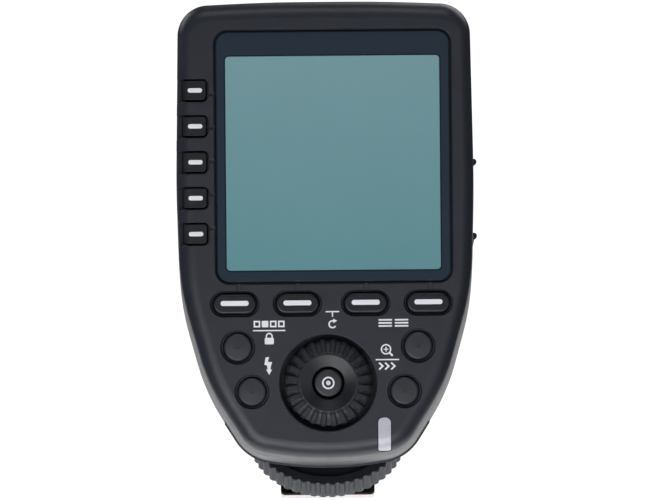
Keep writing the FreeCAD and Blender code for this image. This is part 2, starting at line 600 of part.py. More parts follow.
def coil(x, y, z_0, z_1, r, wire, turns, n=14):
    """Round wire bent along a helix of n short runs a turn."""
    m = int(turns * n)
    p = [V(x + r * math.cos(2 * math.pi * i / n), y + r * math.sin(2 * math.pi * i / n), z_0 + (z_1 - z_0) * i / m) for i in range(m + 1)]
    prof = Part.Wire([Part.Circle(p[0], p[1] - p[0], wire).toShape()])
    s = Part.BRepOffsetAPI.MakePipeShell(Part.makePolygon(p))
    s.setTransitionMode(1)
    s.add(prof, False, False)
    s.build()
    s.makeSolid()
    return s.shape()


def spring(x, y0, y1):
    m = FreeCAD.Placement(V(x, y0, -18.7), FreeCAD.Rotation(V(1, 0, 0), -90)).toMatrix()
    return coil(0, 0, 0, y1 - y0, 3.1, 0.22, 2).transformed(m, True)


low_end = TOP - 0.05 - 50.2      # flat end of the left cell
high_end = BOT + 0.05 + 50.2
springs = [spring(-CELL_X, BOT + 0.3, low_end - 0.3), spring(CELL_X, high_end + 0.3, TOP - 0.3)]
keep("contact_springs", Part.makeCompound(springs))

# shell screws, driven from the back
screws = []
for x, y in BOSSES:
    s = cyl(1.85, x, y, -26.6, -25.45).fuse(cyl(0.8, x, y, -25.5, -3.6)).removeSplitter()
    s = s.cut(box(x - 1.1, x + 1.1, y - 0.22, y + 0.22, -27, -26.1)).cut(box(x - 0.22, x + 0.22, y - 1.1, y + 1.1, -27, -26.1))
    screws.append(s)
keep("shell_screws", Part.makeCompound(screws))

# assist lamp's emitter, behind its window (row frame)
led = Part.makeCylinder(2.45, 4.2, V(0, 3.2, 20.7), V(0, 1, 0)).fuse(Part.makeSphere(2.45, V(0, 7.0, 20.7)).common(box(-5, 5, 7.0, 12, 10, 30)))
led = led.fuse(Part.makeCylinder(2.9, 0.9, V(0, 2.4, 20.7), V(0, 1, 0)))
keep("assist_lamp_emitter", led.removeSplitter(), row=True)
keep("emitter_board", box(-7.5, 7.5, 1.2, 2.35, 16.4, 27.0), row=True)

# ---------------------------------------------------------------- shoe foot (row frame)
INS_X, INS_Y = 5.2, 5.4
plate = box(-SHOE_W / 2, SHOE_W / 2, -SHOE_L / 2 - 0.4, SHOE_L / 2, 0, SHOE_T)
plate = plate.makeFillet(0.9, [e for e in plate.Edges if abs(e.BoundBox.ZLength - SHOE_T) < 1e-3])
plate = plate.makeChamfer(0.55, [e for e in plate.Edges if e.BoundBox.ZMax < 1e-3])
neck = box(-6.15, 6.15, -6.8, 6.8, SHOE_T - 0.5, 4.3)
plate = plate.fuse(neck).removeSplitter()
plate = plate.cut(box(-INS_X - 0.05, INS_X + 0.05, -INS_Y - 0.05, INS_Y + 0.05, -1, 6))
PLATE_SCREWS = [(-3.3, -7.25), (3.3, -7.25), (-3.3, 7.25), (3.3, 7.25)]
for x, y in PLATE_SCREWS:
    plate = cut(plate, cyl(0.85, x, y, -1, 6), cone(1.5, 0.85, x, y, -0.01, 0.8))
LOCK_PIN = (0.0, 7.3)
plate = plate.cut(cyl(0.92, LOCK_PIN[0], LOCK_PIN[1], -1, 6))
keep("foot_plate", one(plate), row=True)

PINS = {"centre_contact_pin": (0.0, 0.0, 1.2), "contact_pin_1": (-3.2, -3.5, 0.75), "contact_pin_2": (3.2, -3.5, 0.75),
        "contact_pin_3": (-3.2, 3.3, 0.75), "contact_pin_4": (3.2, 3.3, 0.75)}
ins = box(-INS_X, INS_X, -INS_Y, INS_Y, 0.1, 10.0)
for x, y, r in PINS.values():
    ins = cut(ins, cyl(r + 0.06, x, y, -1, 3), cyl(r + 0.5, x, y, 2.2, 9.0))
keep("contact_carrier", one(ins), row=True)
for name, (x, y, r) in PINS.items():
    tip = revolve([(0, -PIN_OUT), (r * 0.55, -PIN_OUT), (r * 0.9, -PIN_OUT + 0.18), (r, -PIN_OUT + 0.45), (r, 2.26), (r + 0.4, 2.26), (r + 0.4, 3.3), (0, 3.3)], x, y)
    keep(name, tip, row=True)


pin_springs = [coil(x, y, 3.5, 8.8, r * 0.9, 0.12, 7) for x, y, r in PINS.values()]
springs_foot = pin_springs + [coil(0.0, 7.3, 9.2, 12.3, 0.68, 0.12, 5)]
keep("foot_springs", Part.makeCompound(springs_foot), row=True)

# threaded collar with keyways, flange inside the block
cp = [(0, 4.32), (COLLAR_R - 0.35, 4.32)]
z = 4.55
while z < 10.4:
    cp += [(COLLAR_R - 0.35, z), (COLLAR_R, z + 0.22), (COLLAR_R, z + 0.4), (COLLAR_R - 0.35, z + 0.62)]
    z += 0.84
cp += [(COLLAR_R - 0.35, 10.9), (COLLAR_R, 10.9), (COLLAR_R, 13.6), (0, 13.6)]
collar = revolve(cp)
flange = prism(rounded([(-13.6, -7.0, 2), (13.6, -7.0, 2), (13.6, 11.6, 3), (-13.6, 11.6, 3)], 0), BLOCK_Z + 2.04, BLOCK_Z + 3.7)
collar = collar.fuse(flange)
collar = cut(collar, box(-INS_X - 0.05, INS_X + 0.05, -INS_Y - 0.05, INS_Y + 0.05, 3, 10.05),
             box(-COLLAR_R - 1, -COLLAR_R + 0.95, -1.1, 1.1, 3, 10.6), box(COLLAR_R - 0.95, COLLAR_R + 1, -1.1, 1.1, 3, 10.6),
             cyl(2.2, 0, 0, 9, 16))
for x, y in PLATE_SCREWS:
    collar = collar.cut(cyl(0.62, x, y, 3, 9.2))
for x, y in COLLAR_SCREWS:
    collar = collar.cut(cyl(0.95, x, y, 12, 16))
collar = collar.cut(cyl(1.0, LOCK_PIN[0], LOCK_PIN[1], 3, 12.6))
keep("threaded_collar", one(collar), row=True)
ps = []
for x, y in PLATE_SCREWS:
    s = cone(1.42, 0.6, x, y, 0.03, 0.86).fuse(cyl(0.6, x, y, 0.8, 9.0)).removeSplitter()
    s = s.cut(box(x - 0.8, x + 0.8, y - 0.16, y + 0.16, 0, 0.4)).cut(box(x - 0.16, x + 0.16, y - 0.8, y + 0.8, 0, 0.4))
    ps.append(s)
keep("foot_screws", Part.makeCompound(ps), row=True)
cs = []
for x, y in COLLAR_SCREWS:
    s = cyl(0.8, x, y, BLOCK_Z + 0.7, BLOCK_Z + 3.75).fuse(cyl(1.5, x, y, BLOCK_Z + 3.72, BLOCK_Z + 4.7)).removeSplitter()
    s = s.cut(box(x - 1.0, x + 1.0, y - 0.2, y + 0.2, BLOCK_Z + 4.3, 17))
    cs.append(s)
keep("collar_screws", Part.makeCompound(cs), row=True)

# pressure washer: keyed to the collar, it travels with the ring but doesn't turn
washer = cut(cyl(WASHER_R, 0, 0, RING_Z0 - 0.02, RING_Z0 + 0.78), cyl(COLLAR_R + 0.1, 0, 0, RING_Z0 - 1, RING_Z0 + 2))
for s in (-1, 1):
    washer = washer.fuse(box(min(s * (COLLAR_R - 0.7), s * (COLLAR_R + 0.6)), max(s * (COLLAR_R - 0.7), s * (COLLAR_R + 0.6)), -0.95, 0.95,
                             RING_Z0 - 0.02, RING_Z0 + 0.78))
keep("pressure_washer", one(washer.removeSplitter()), row=True)

# lock ring: rim of rounded teeth with rounded valleys, sunk top
lobe = []
pitch = 2 * math.pi / RING_LOBES
rim = lambda r, a: V(r * math.cos(a), r * math.sin(a), RING_Z0)
for i in range(RING_LOBES):
    a = pitch * i
    mid = RING_R - RING_TOOTH / 2
    lobe.append(Part.Arc(rim(mid, a - pitch / 4), rim(RING_R, a), rim(mid, a + pitch / 4)).toShape())
    lobe.append(Part.Arc(rim(mid, a + pitch / 4), rim(RING_R - RING_TOOTH, a + pitch / 2), rim(mid, a + pitch * 3 / 4)).toShape())
ring = Part.Face(Part.Wire(lobe)).extrude(V(0, 0, RING_Z1 - RING_Z0))
ring = ring.common(revolve([(0, RING_Z0), (RING_R - 0.25, RING_Z0), (RING_R + 0.1, RING_Z0 + 0.35), (RING_R + 0.1, RING_Z1 - 0.35),
                            (RING_R - 0.25, RING_Z1), (0, RING_Z1)]))
ring = cut(ring, cyl(COLLAR_R + 0.1, 0, 0, RING_Z0 - 1, RING_Z1 + 1), cone(12.5, 13.2, 0, 0, RING_Z1 - 0.7, RING_Z1 + 0.01),
           cyl(WASHER_R + 0.3, 0, 0, RING_Z0 - 1, RING_Z0 + 0.85))
keep("lock_ring", one(ring), row=True)

pin = revolve([(0, 0.08), (0.55, 0.08), (0.85, 0.4), (0.85, 9.0), (0, 9.0)], *LOCK_PIN)
keep("lock_pin", pin, row=True)

print(len(NODES), "nodes", sum(NODES.values()), "solids")
b = to_row(body).BoundBox
print("body box", [round(v, 2) for v in (b.XMin, b.XMax, b.YMin, b.YMax, b.ZMin, b.ZMax)])
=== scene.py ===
# Looks of the wireless flash trigger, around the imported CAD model.
import math

import bmesh
import bpy
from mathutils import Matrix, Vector
from mathutils.bvhtree import BVHTree


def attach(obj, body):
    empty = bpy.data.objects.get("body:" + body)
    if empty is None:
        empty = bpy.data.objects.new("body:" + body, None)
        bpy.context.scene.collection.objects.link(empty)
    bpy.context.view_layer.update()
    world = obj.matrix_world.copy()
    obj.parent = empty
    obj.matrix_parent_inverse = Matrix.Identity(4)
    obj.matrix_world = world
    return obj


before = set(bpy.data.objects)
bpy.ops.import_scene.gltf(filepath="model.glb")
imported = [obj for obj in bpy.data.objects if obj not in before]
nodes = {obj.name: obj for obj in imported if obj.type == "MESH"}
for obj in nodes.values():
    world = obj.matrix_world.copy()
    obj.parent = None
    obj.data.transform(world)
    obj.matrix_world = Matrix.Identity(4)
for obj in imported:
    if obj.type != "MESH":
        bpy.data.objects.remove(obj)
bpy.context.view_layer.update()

S = math.sqrt(0.5)
FY, FZ = -42.9, -43.5            # the foot's underside centre in the handset's own frame, mm
N = Vector((0, -S, S))           # the face's normal
U = Vector((0, S, S))            # up the face


def row(x, y, z):
    """Handset frame in mm to the row frame in metres."""
    a, b = y - FY, z - FZ
    return Vector((x, S * (a - b), S * (a + b))) / 1000


# ------------------------------------------------------------------ smooth shading
for o in nodes.values():
    me = o.data
    if me.polygons:
        me.polygons.foreach_set("use_smooth", [True] * len(me.polygons))
        if not me.has_custom_normals:
            me.set_sharp_from_angle(angle=math.radians(32))


# ------------------------------------------------------------------ materials
class Tree:
    def __init__(self, name):
        self.m = bpy.data.materials.new(name)
        self.m.use_nodes = True
        self.t = self.m.node_tree
        self.t.nodes.clear()
        self.out = self.n("ShaderNodeOutputMaterial")
        self.co = self.n("ShaderNodeTexCoord").outputs["Object"]

    def n(self, kind, **props):
        q = self.t.nodes.new(kind)
        for k, v in props.items():
            setattr(q, k, v)
        return q

    def link(self, a, b):
        self.t.links.new(a, b)

    def put(self, socket, v):
        if isinstance(v, bpy.types.NodeSocket):
            self.link(v, socket)
        else:
            socket.default_value = v

    def math(self, op, a, b=0.0, c=0.0, clamp=False):
        q = self.n("ShaderNodeMath", operation=op, use_clamp=clamp)
        self.put(q.inputs[0], a)
        self.put(q.inputs[1], b)
        self.put(q.inputs[2], c)
        return q.outputs[0]

    def noise(self, scale, detail=3.0, rough=0.55, stretch=None):
        q = self.n("ShaderNodeTexNoise")
        src = self.co
        if stretch:
            mp = self.n("ShaderNodeMapping")
            mp.inputs["Scale"].default_value = stretch
            self.link(self.co, mp.inputs["Vector"])
            src = mp.outputs[0]
        self.link(src, q.inputs["Vector"])
        q.inputs["Scale"].default_value = scale
        q.inputs["Detail"].default_value = detail
        q.inputs["Roughness"].default_value = rough
        return q.outputs["Fac"]

    def span(self, v, lo, hi, a=0.25, b=0.75):
        q = self.n("ShaderNodeMapRange", clamp=True)
        self.put(q.inputs["Value"], v)
        q.inputs["From Min"].default_value = a
        q.inputs["From Max"].default_value = b
        q.inputs["To Min"].default_value = lo
        q.inputs["To Max"].default_value = hi
        return q.outputs["Result"]

    def mix(self, fac, a, b, blend="MIX"):
        q = self.n("ShaderNodeMix", data_type="RGBA", blend_type=blend)
        self.put(q.inputs["Factor"], fac)
        self.put(q.inputs["A"], a)
        self.put(q.inputs["B"], b)
        return q.outputs["Result"]

    def grey(self, v):
        q = self.n("ShaderNodeCombineColor")
        for i in range(3):
            self.put(q.inputs[i], v)
        return q.outputs[0]

    def face_xy(self):
        """x and y of the handset's own frame, in mm."""
        q = self.n("ShaderNodeSeparateXYZ")
        self.link(self.co, q.inputs[0])
        x = self.math("MULTIPLY", q.outputs["X"], 1000.0)
        y = self.math("MULTIPLY_ADD", self.math("ADD", q.outputs["Y"], q.outputs["Z"]), 1000.0 * S, FY)
        return x, y

    def panel(self, x, y, cx, cy, w, h, r, soft=0.05):
        """1 inside a rounded rectangle on the face, 0 outside it."""
        qx = self.math("SUBTRACT", self.math("ABSOLUTE", self.math("SUBTRACT", x, cx)), w / 2 - r)
        qy = self.math("SUBTRACT", self.math("ABSOLUTE", self.math("SUBTRACT", y, cy)), h / 2 - r)
        mx, my = self.math("MAXIMUM", qx, 0.0), self.math("MAXIMUM", qy, 0.0)
        outer = self.math("SQRT", self.math("ADD", self.math("MULTIPLY", mx, mx), self.math("MULTIPLY", my, my)))
        inner = self.math("MINIMUM", self.math("MAXIMUM", qx, qy), 0.0)
        d = self.math("SUBTRACT", self.math("ADD", outer, inner), r)
        q = self.n("ShaderNodeMapRange", clamp=True, interpolation_type="SMOOTHSTEP")
        self.put(q.inputs["Value"], d)
        q.inputs["From Min"].default_value = -soft
        q.inputs["From Max"].default_value = soft
        q.inputs["To Min"].default_value = 1.0
        q.inputs["To Max"].default_value = 0.0
        return q.outputs["Result"]


def srgb(r, g, b):
    f = lambda c: c / 12.92 if c <= 0.04045 else ((c + 0.055) / 1.055) ** 2.4
    return (f(r / 255), f(g / 255), f(b / 255), 1.0)


def surface(name, base, rough=(0.4, 0.5), metal=0.0, var=0.12, var_scale=220.0, grain=0.0, grain_scale=3500.0, edge=0.00012,
            coat=0.0, coat_rough=0.1, spec=0.5, stretch=None, dust=0.0, transmission=0.0, emit=None, anis=0.0, tree=None, colour=None):
    t = tree or Tree(name)
    p = t.n("ShaderNodeBsdfPrincipled")
    t.link(p.outputs[0], t.out.inputs["Surface"])
    c = colour if colour is not None else tuple(base)
    shade = t.span(t.noise(var_scale, 4.0), 1.0 - var, 1.0 + var, 0.3, 0.7)
    c = t.mix(1.0, c, t.grey(shade), "MULTIPLY")
    if dust:
        c = t.mix(t.span(t.noise(900.0, 6.0, 0.7), 0.0, dust, 0.5, 0.8), c, (0.35, 0.35, 0.36, 1.0))
    t.link(c, p.inputs["Base Color"])
    t.link(t.span(t.noise(var_scale * 2.3, 3.0, stretch=stretch), rough[0], rough[1], 0.3, 0.7), p.inputs["Roughness"])
    p.inputs["Metallic"].default_value = metal
    p.inputs["Specular IOR Level"].default_value = spec
    p.inputs["Coat Weight"].default_value = coat
    p.inputs["Coat Roughness"].default_value = coat_rough
    p.inputs["Transmission Weight"].default_value = transmission
    p.inputs["Anisotropic"].default_value = anis
    if emit:
        p.inputs["Emission Color"].default_value = emit[0]
        p.inputs["Emission Strength"].default_value = emit[1]
    normal = None
    if edge:
        bv = t.n("ShaderNodeBevel", samples=4)
        bv.inputs["Radius"].default_value = edge
        normal = bv.outputs[0]
    if grain:
        bp = t.n("ShaderNodeBump")
        bp.inputs["Strength"].default_value = 1.0
        bp.inputs["Distance"].default_value = grain
        t.link(t.noise(grain_scale, 2.0, 0.6, stretch=stretch), bp.inputs["Height"])
        if normal is not None:
            t.link(normal, bp.inputs["Normal"])
        normal = bp.outputs[0]
    if normal is not None:
        t.link(normal, p.inputs["Normal"])
        if coat:
            t.link(normal, p.inputs["Coat Normal"])
    return t.m


PLASTIC = (0.0220, 0.0250, 0.0350, 1)
mats = {
    "shell": surface("shell_plastic", PLASTIC, (0.37, 0.45), var=0.07, grain=0.0000035, grain_scale=5200, edge=0.00016, spec=0.45),
    "rear": surface("rear_plastic", PLASTIC, (0.37, 0.45), var=0.07, grain=0.0000035, grain_scale=4200, edge=0.00018, spec=0.45),
    "key": surface("key_plastic", (0.0300, 0.0330, 0.0410, 1), (0.36, 0.46), var=0.06, grain=0.0000025, grain_scale=5200, edge=0.00016, spec=0.45),
    "cap": surface("cap_plastic", (0.0105, 0.0125, 0.0170, 1), (0.34, 0.44), var=0.06, grain=0.0000025, grain_scale=5200, edge=0.00016, spec=0.42),
    "knob": surface("knob_plastic", (0.0120, 0.0140, 0.0185, 1), (0.34, 0.44), var=0.07, grain=0.000002, edge=0.00014, spec=0.5),
    "ring": surface("ring_plastic", (0.031, 0.035, 0.043, 1), (0.36, 0.5), var=0.1, grain=0.000004, edge=0.00015, dust=0.05),
    "lamp": surface("lamp_clear", (0.57, 0.57, 0.64, 1), (0.25, 0.34), var=0.05, grain=0.0000015, edge=0.0001, coat=0.3),
    "steel": surface("foot_metal", (0.56, 0.56, 0.57, 1), (0.24, 0.42), metal=1.0, var=0.08, var_scale=500, grain=0.000003, grain_scale=600,
                     stretch=(18.0, 1.0, 1.0), edge=0.0001),
    "nickel": surface("nickel_plate", (0.62, 0.60, 0.56, 1), (0.2, 0.34), metal=1.0, var=0.06, grain=0.000001, edge=0.00008),
    "collar": surface("collar_metal", (0.035, 0.035, 0.038, 1), (0.3, 0.42), metal=0.6, var=0.1, grain=0.0000015, edge=0.00008),
    "screw": surface("screw_steel", (0.06, 0.06, 0.062, 1), (0.28, 0.42), metal=0.8, var=0.15, grain=0.0000015, edge=0.00008),
    "gold": surface("contact_brass", (0.83, 0.60, 0.24, 1), (0.18, 0.3), metal=1.0, var=0.08, grain=0.000001, edge=0.00006),
    "wire": surface("spring_steel", (0.60, 0.60, 0.61, 1), (0.2, 0.32), metal=1.0, var=0.08, grain=0.000001, edge=0),
    "board": surface("board", (0.010, 0.075, 0.028, 1), (0.3, 0.42), var=0.2, var_scale=160, grain=0.000004, grain_scale=1400, edge=0.00006, coat=0.2),
    "chip": surface("chip", (0.022, 0.022, 0.023, 1), (0.5, 0.65), var=0.12, grain=0.000003, edge=0.00006),
    "red": surface("assist_red", (0.085, 0.0045, 0.0055, 1), (0.16, 0.24), var=0.1, grain=0.0000008, grain_scale=900, edge=0.0001, coat=0.12, coat_rough=0.12, spec=0.35),
    "socket": surface("socket_black", (0.014, 0.014, 0.015, 1), (0.3, 0.42), var=0.1, grain=0.000002, edge=0.0001),
    "cell": surface("cell_wrap", (0.045, 0.055, 0.065, 1), (0.22, 0.32), metal=0.3, var=0.15, grain=0.000001, edge=0.0001, coat=0.4),
    "film": surface("film", (0.36, 0.15, 0.03, 1), (0.3, 0.4), var=0.12, grain=0.000001, edge=0),
    "carrier": surface("carrier_black", (0.016, 0.016, 0.017, 1), (0.45, 0.6), var=0.1, grain=0.000003, edge=0.0001),
    "guide": surface("light_guide", (0.70, 0.74, 0.76, 1), (0.15, 0.25), var=0.04, grain=0.0000008, edge=0.0001),
    "print": surface("white_print", (0.92, 0.92, 0.97, 1), (0.45, 0.55), var=0.02, grain=0.0000015, grain_scale=6000, edge=0),
    "print_dim": surface("grey_print", (0.50, 0.51, 0.56, 1), (0.45, 0.55), var=0.03, grain=0.0000015, grain_scale=6000, edge=0),
}

# the display under its window: teal panel, dark printed border
t = Tree("display_window")
x, y = t.face_xy()
fall = t.span(y, 0.0, 1.0, -4.0, 37.2)
teal = t.mix(fall, srgb(108, 157, 163), srgb(131, 170, 176))
area = t.panel(x, y, 1.55, 16.6, 40.8, 40.8, 0.7, 0.06)
rim = t.panel(x, y, 1.55, 16.6, 41.3, 41.3, 0.9, 0.12)
border = t.mix(rim, srgb(46, 57, 68), srgb(26, 32, 40))
face = t.mix(area, border, teal)
mats["window"] = surface("display_window", None, (0.16, 0.22), var=0.015, var_scale=60, grain=0.0000004, grain_scale=1200, edge=0.00012,
                         spec=0.4, tree=t, colour=face)
# dial: dark ribs; the rim between them is painted lighter, a painted reflection of the light caught by the sloped base
# in the gaps
t = Tree("dial_painted_gap_light")
x, y = t.face_xy()
ax, ay = t.math("SUBTRACT", x, 0.3), t.math("SUBTRACT", y, -25.3)
rad = t.math("SQRT", t.math("ADD", t.math("MULTIPLY", ax, ax), t.math("MULTIPLY", ay, ay)))
turn = t.math("MULTIPLY", t.math("ARCTAN2", ay, ax), 24 / (2 * math.pi))
off = t.math("ABSOLUTE", t.math("SUBTRACT", t.math("FRACT", t.math("ADD", turn, 24.0)), 0.5))
gap = t.span(t.math("MULTIPLY", off, t.math("MULTIPLY", rad, 2 * math.pi / 24)), 0.0, 1.0, 0.50, 0.60)
# painted reflection: the rim between the ribs is painted lighter where the sloped base would catch the light from below
rim = t.math("MULTIPLY", t.span(rad, 0.0, 1.0, 5.95, 6.1), gap)
mats["dial"] = surface("dial_painted_gap_light", None, (0.34, 0.44), var=0.07, grain=0.000002, edge=0.00014, spec=0.5, tree=t,
                       colour=t.mix(rim, (0.0095, 0.0115, 0.0155, 1), (0.072, 0.077, 0.092, 1)))
ribs = t.math("MULTIPLY", t.span(rad, 0.0, 1.0, 5.2, 5.5), t.math("SUBTRACT", 1.0, gap))
shader = next(q for q in t.t.nodes if q.type == "BSDF_PRINCIPLED")
matt = shader.inputs["Roughness"].links[0].from_socket
t.link(t.math("MULTIPLY", matt, t.math("MULTIPLY_ADD", ribs, 0.75, 1.0)), shader.inputs["Roughness"])

# foot plate: bare metal edges; the upper side is painted black as the shade and dark reflection under the lock ring
t = Tree("foot_plate_painted_shade")
q = t.n("ShaderNodeSeparateXYZ")
t.link(t.co, q.inputs[0])
# painted shade: the plate turns black above z 1.5 mm, with a noisy edge, standing in for the shade and dark reflection
# under the ring
shade_edge = t.math("MULTIPLY_ADD", t.noise(700.0, 4.0), 0.00012, q.outputs["Z"])
upper = t.span(shade_edge, 0.0, 1.0, 0.00150, 0.00158)
mats["foot"] = surface("foot_plate_painted_shade", None, (0.24, 0.42), metal=0.85, var=0.08, var_scale=500, grain=0.000003, grain_scale=600,
                       stretch=(18.0, 1.0, 1.0), edge=0.0001, tree=t, colour=t.mix(upper, (0.69, 0.635, 0.625, 1), (0.012, 0.012, 0.013, 1)))
t = Tree("lcd")
mats["lcd"] = surface("lcd", srgb(98, 137, 143), (0.25, 0.35), var=0.03, grain=0.000001, edge=0.0001, tree=t)

LOOK = {
    "front_shell": "shell", "rear_shell": "rear", "battery_cover": "rear", "screen_window": "window", "lcd_panel": "lcd",
    "lcd_light_guide": "guide", "lcd_ribbon": "film", "main_board": "board", "key_switches": "chip", "dial_encoder": "socket",
    "status_lamp": "lamp", "status_led": "lamp", "processor_chip": "chip", "radio_module": "nickel", "antenna": "gold", "beeper": "chip",
    "slide_switch_bases": "nickel", "usb_socket_shell": "nickel", "usb_socket_tongue": "socket", "sync_socket": "socket",
    "battery_cell_left": "cell", "battery_cell_right": "cell", "contact_bridge": "nickel", "contact_plates": "nickel",
    "contact_springs": "wire", "shell_screws": "screw", "assist_lamp_lens": "red", "assist_lamp_emitter": "lamp", "emitter_board": "board",
    "foot_plate": "foot", "contact_carrier": "carrier", "foot_springs": "wire", "threaded_collar": "collar", "foot_screws": "screw",
    "collar_screws": "screw", "pressure_washer": "nickel", "lock_ring": "ring", "lock_pin": "steel", "select_dial": "dial", "set_button": "key",
    "power_switch": "knob", "assist_switch": "knob",
}
for name, o in nodes.items():
    key = LOOK.get(name)
    if key is None:
        key = "gold" if "pin" in name else "cap" if name.startswith(("group", "function")) else "key"
    o.data.materials.clear()
    o.data.materials.append(mats[key])

# ------------------------------------------------------------------ printed marks
trees = {}


def on_surface(names, x, y, top=3.0):
    """Height (handset z, mm) of the named nodes' surface over (x, y)."""
    best = None
    for name in names:
        if name not in trees:
            trees[name] = BVHTree.FromPolygons([v.co for v in nodes[name].data.vertices], [tuple(p.vertices) for p in nodes[name].data.polygons])
        hit = trees[name].ray_cast(row(x, y, top), -N, 0.02)
        if hit[0] is not None:
            z = top - hit[3] * 1000
            best = z if best is None else max(best, z)
    return best


class Print:
    """Thin ink on the surface, made of small closed tiles."""

    def __init__(self, name, body, over, mat="print", slot=None):
        self.name, self.body, self.over, self.mat, self.slot = name, body, over, mat, slot
        self.bm = bmesh.new()
        self.k = 0

    def strip(self, pairs):
        """pairs of (x, y) points; the ink lies between the first and the second of each pair."""
        self.k += 1
        lift, sink = 0.014 + 0.001 * (self.k % 9), 0.06
        rows = []
        for a, b in pairs:
            za, zb = on_surface(self.over, *a), on_surface(self.over, *b)
            za, zb = (za if za is not None else zb), (zb if zb is not None else za)
            if za is None:
                za = zb = 0.0
            rows.append([self.bm.verts.new(row(*a, za + lift)), self.bm.verts.new(row(*b, zb + lift)),
                         self.bm.verts.new(row(*b, zb - sink)), self.bm.verts.new(row(*a, za - sink))])
        for p, q in zip(rows, rows[1:]):
            for i in range(4):
                j = (i + 1) % 4
                self.bm.faces.new((p[i], q[i], q[j], p[j]))
        self.bm.faces.new(rows[0])
        self.bm.faces.new(list(reversed(rows[-1])))

    def bar(self, cx, cy, w, h, r, n=8):
        xs = []
        for i in range(n + 1):
            a = math.pi / 2 * i / n
            xs.append((-w / 2 + r - r * math.cos(a), h / 2 - r + r * math.sin(a)))
        mid = [(-w / 2 + r + (w - 2 * r) * i / 8, h / 2) for i in range(1, 8)]
        half = xs + mid + [(-u, v) for u, v in reversed(xs)]
        if half[0][1] <= 1e-6:
            half[0] = (half[0][0] + 1e-4, 0.01)
            half[-1] = (half[-1][0] - 1e-4, 0.01)
        self.strip([((cx + u, cy + v), (cx + u, cy - v)) for u, v in half])

    def line(self, pts, w, closed=False):
        """Stroke of width w along the points, with mitred corners."""
        n = len(pts)
        out = []
        for i in range(n):
            p = Vector(pts[i])
            a = Vector(pts[i - 1]) if (closed or i) else None
            b = Vector(pts[(i + 1) % n]) if (closed or i < n - 1) else None
            d0 = (p - a).normalized() if a is not None else None
            d1 = (b - p).normalized() if b is not None else None
            d0, d1 = d0 or d1, d1 or d0
            m = (d0 + d1).normalized()
            nn = Vector((-m.y, m.x))
            k = w / 2 / max(0.35, nn.dot(Vector((-d0.y, d0.x))))
            out.append((tuple(p + nn * k), tuple(p - nn * k)))
        if closed:
            out.append(out[0])
        self.strip(out)

    def arc(self, cx, cy, r, a0, a1, w, n=20):
        self.line([(cx + r * math.cos(math.radians(a0 + (a1 - a0) * i / n)), cy + r * math.sin(math.radians(a0 + (a1 - a0) * i / n)))
                   for i in range(n + 1)], w)

    def disc(self, cx, cy, r, n=16):
        pairs = []
        for i in range(1, n):
            a = math.pi * i / n
            pairs.append(((cx - r * math.cos(a), cy + r * math.sin(a)), (cx - r * math.cos(a), cy - r * math.sin(a))))
        self.strip(pairs)

    def done(self):
        me = bpy.data.meshes.new(self.name)
        bmesh.ops.recalc_face_normals(self.bm, faces=self.bm.faces)
        self.bm.to_mesh(me)
        self.bm.free()
        o = bpy.data.objects.new(self.name, me)
        bpy.context.scene.collection.objects.link(o)
        me.materials.append(mats[self.mat])
        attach(o, self.body)
        return o


GROUP_Y = [30.6 - 6.84 * i for i in range(5)]
for i, gy in enumerate(GROUP_Y):
    k = "group_button_%d" % (i + 1)
    p = Print("mark_" + k, k + "_body", [k])
    p.bar(-24.63, gy, 2.75, 0.85, 0.4)
    p.done()
for i, fx in enumerate((-17.4, -5.45, 7.55, 19.5)):
    k = "function_button_%d" % (i + 1)
    p = Print("mark_" + k, k + "_body", [k])
    p.bar(fx, -10.02, 5.35, 0.95, 0.45)
    p.done()

# generic pictograms beside the keys
face = ["front_shell"]
p = Print("legend_mode", "handset", face)
for i in range(4):
    cx = -13.2 + 1.55 * i
    if i == 1:
        p.bar(cx, -14.0, 1.25, 1.25, 0.18, 4)
    else:
        p.line([(cx - 0.48, -14.48), (cx + 0.48, -14.48), (cx + 0.48, -13.52), (cx - 0.48, -13.52)], 0.29, True)
p.bar(-10.9, -15.25, 6.2, 0.25, 0.1, 3)
p.done()
p = Print("legend_lock", "handset", face)
p.bar(-10.88, -17.25, 1.75, 1.25, 0.22, 4)
p.line([(-11.43, -16.75), (-11.43, -16.35)] + [(-10.88 - 0.55 * math.cos(math.pi * i / 8), -16.35 + 0.55 * math.sin(math.pi * i / 8)) for i in range(1, 8)]
       + [(-10.33, -16.35), (-10.33, -16.75)], 0.26)
p.done()
p = Print("legend_bolt", "handset", face)
p.strip([((-10.95, -20.3), (-11.6, -20.35)), ((-11.2, -21.2), (-11.85, -21.75)), ((-10.35, -21.25), (-11.3, -21.95)),
         ((-10.65, -22.15), (-11.3, -22.3)), ((-10.7, -22.75), (-11.15, -22.85))])
p.strip([((-11.55, -22.6), (-11.5, -22.66)), ((-10.95, -22.78), (-10.95, -23.72)), ((-10.35, -22.66), (-10.4, -22.72))])
p.done()
p = Print("legend_return", "handset", face)
p.bar(1.2, -11.75, 2.6, 0.24, 0.1, 3)
p.line([(1.2, -11.85), (1.2, -12.75)], 0.24)
p.arc(1.2, -14.15, 0.66, 60, 330, 0.28)
p.strip([((1.2 + 0.12, -13.05), (1.2 + 0.12, -13.95)), ((1.2 + 0.86, -13.48), (1.2 + 0.86, -13.52))])
p.done()
p = Print("legend_menu", "handset", face)
for i in range(3):
    p.bar(11.25, -13.4 - 0.58 * i, 2.6, 0.31, 0.12, 3)
    p.bar(14.35, -13.4 - 0.58 * i, 2.6, 0.31, 0.12, 3)
p.done()
p = Print("legend_zoom", "handset", face)
p.arc(11.35, -19.0, 0.88, 0, 360, 0.26, 28)
p.line([(11.98, -19.63), (12.6, -20.25)], 0.36)
p.bar(11.35, -19.0, 0.9, 0.2, 0.08, 3)
p.line([(11.35, -19.45), (11.35, -18.55)], 0.2)
p.bar(11.6, -20.97, 4.5, 0.25, 0.1, 3)
